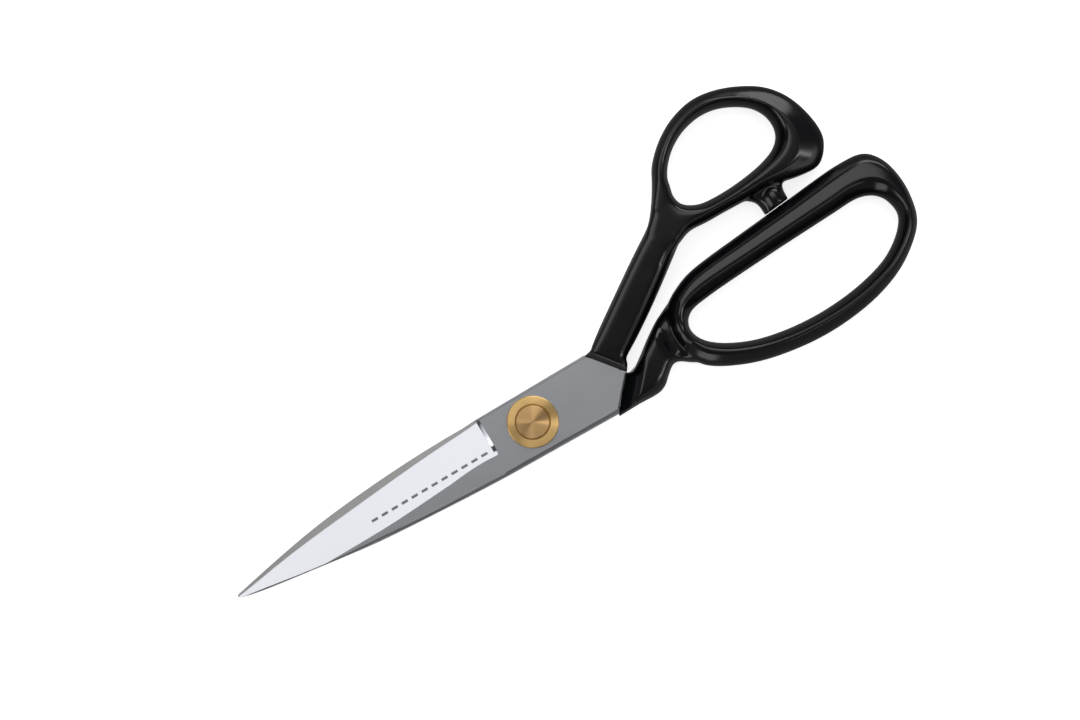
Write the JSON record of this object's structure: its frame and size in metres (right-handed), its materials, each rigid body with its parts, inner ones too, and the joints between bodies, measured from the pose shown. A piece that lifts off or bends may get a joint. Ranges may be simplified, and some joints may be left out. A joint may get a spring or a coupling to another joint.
{
  "type": "fabric shears",
  "caption": "Dressmaker's shears: bent black handles with a thumb bow and a long finger bow, ground steel blades, brass pivot with a tension nut.",
  "frame": {"origin": "on the pivot axis, at the lower face of the tension nut, which is the plane that the closed shears lie on", "axes": "+X from the blade tips towards the handles, +Y towards the thumb bow, +Z out of the face with the brass button"},
  "size_m": [0.2033, 0.0696, 0.011],
  "materials": {
    "blade_steel": "satin ground carbon steel with polished facets",
    "black_enamel": "gloss black baked enamel over cast metal",
    "brass_turned": "turned brass",
    "bronze_bush": "plain bearing bronze",
    "spring_steel": "plain zinc-plated steel"
  },
  "bodies": {
    "back_half": {"back_blade": "blade_steel", "finger_handle": "black_enamel", "pivot_bush": "bronze_bush"},
    "front_half": {"front_blade": "blade_steel", "thumb_handle": "black_enamel", "front_collar": "brass_turned", "pivot_bolt": "brass_turned", "key_washer": "spring_steel", "disc_spring": "spring_steel"},
    "nut": {"tension_nut": "brass_turned"}
  },
  "joints": [
    {"name": "blade_pivot", "type": "hinge", "parent": "back_half", "child": "front_half", "pos_m": [0, 0, 0], "axis": [0, 0, 1], "range_deg": [0, 100]},
    {"name": "nut_turn", "type": "hinge", "parent": "front_half", "child": "nut", "pos_m": [0, 0, 0], "axis": [0, 0, 1], "range_deg": [-45, 45]}
  ]
}
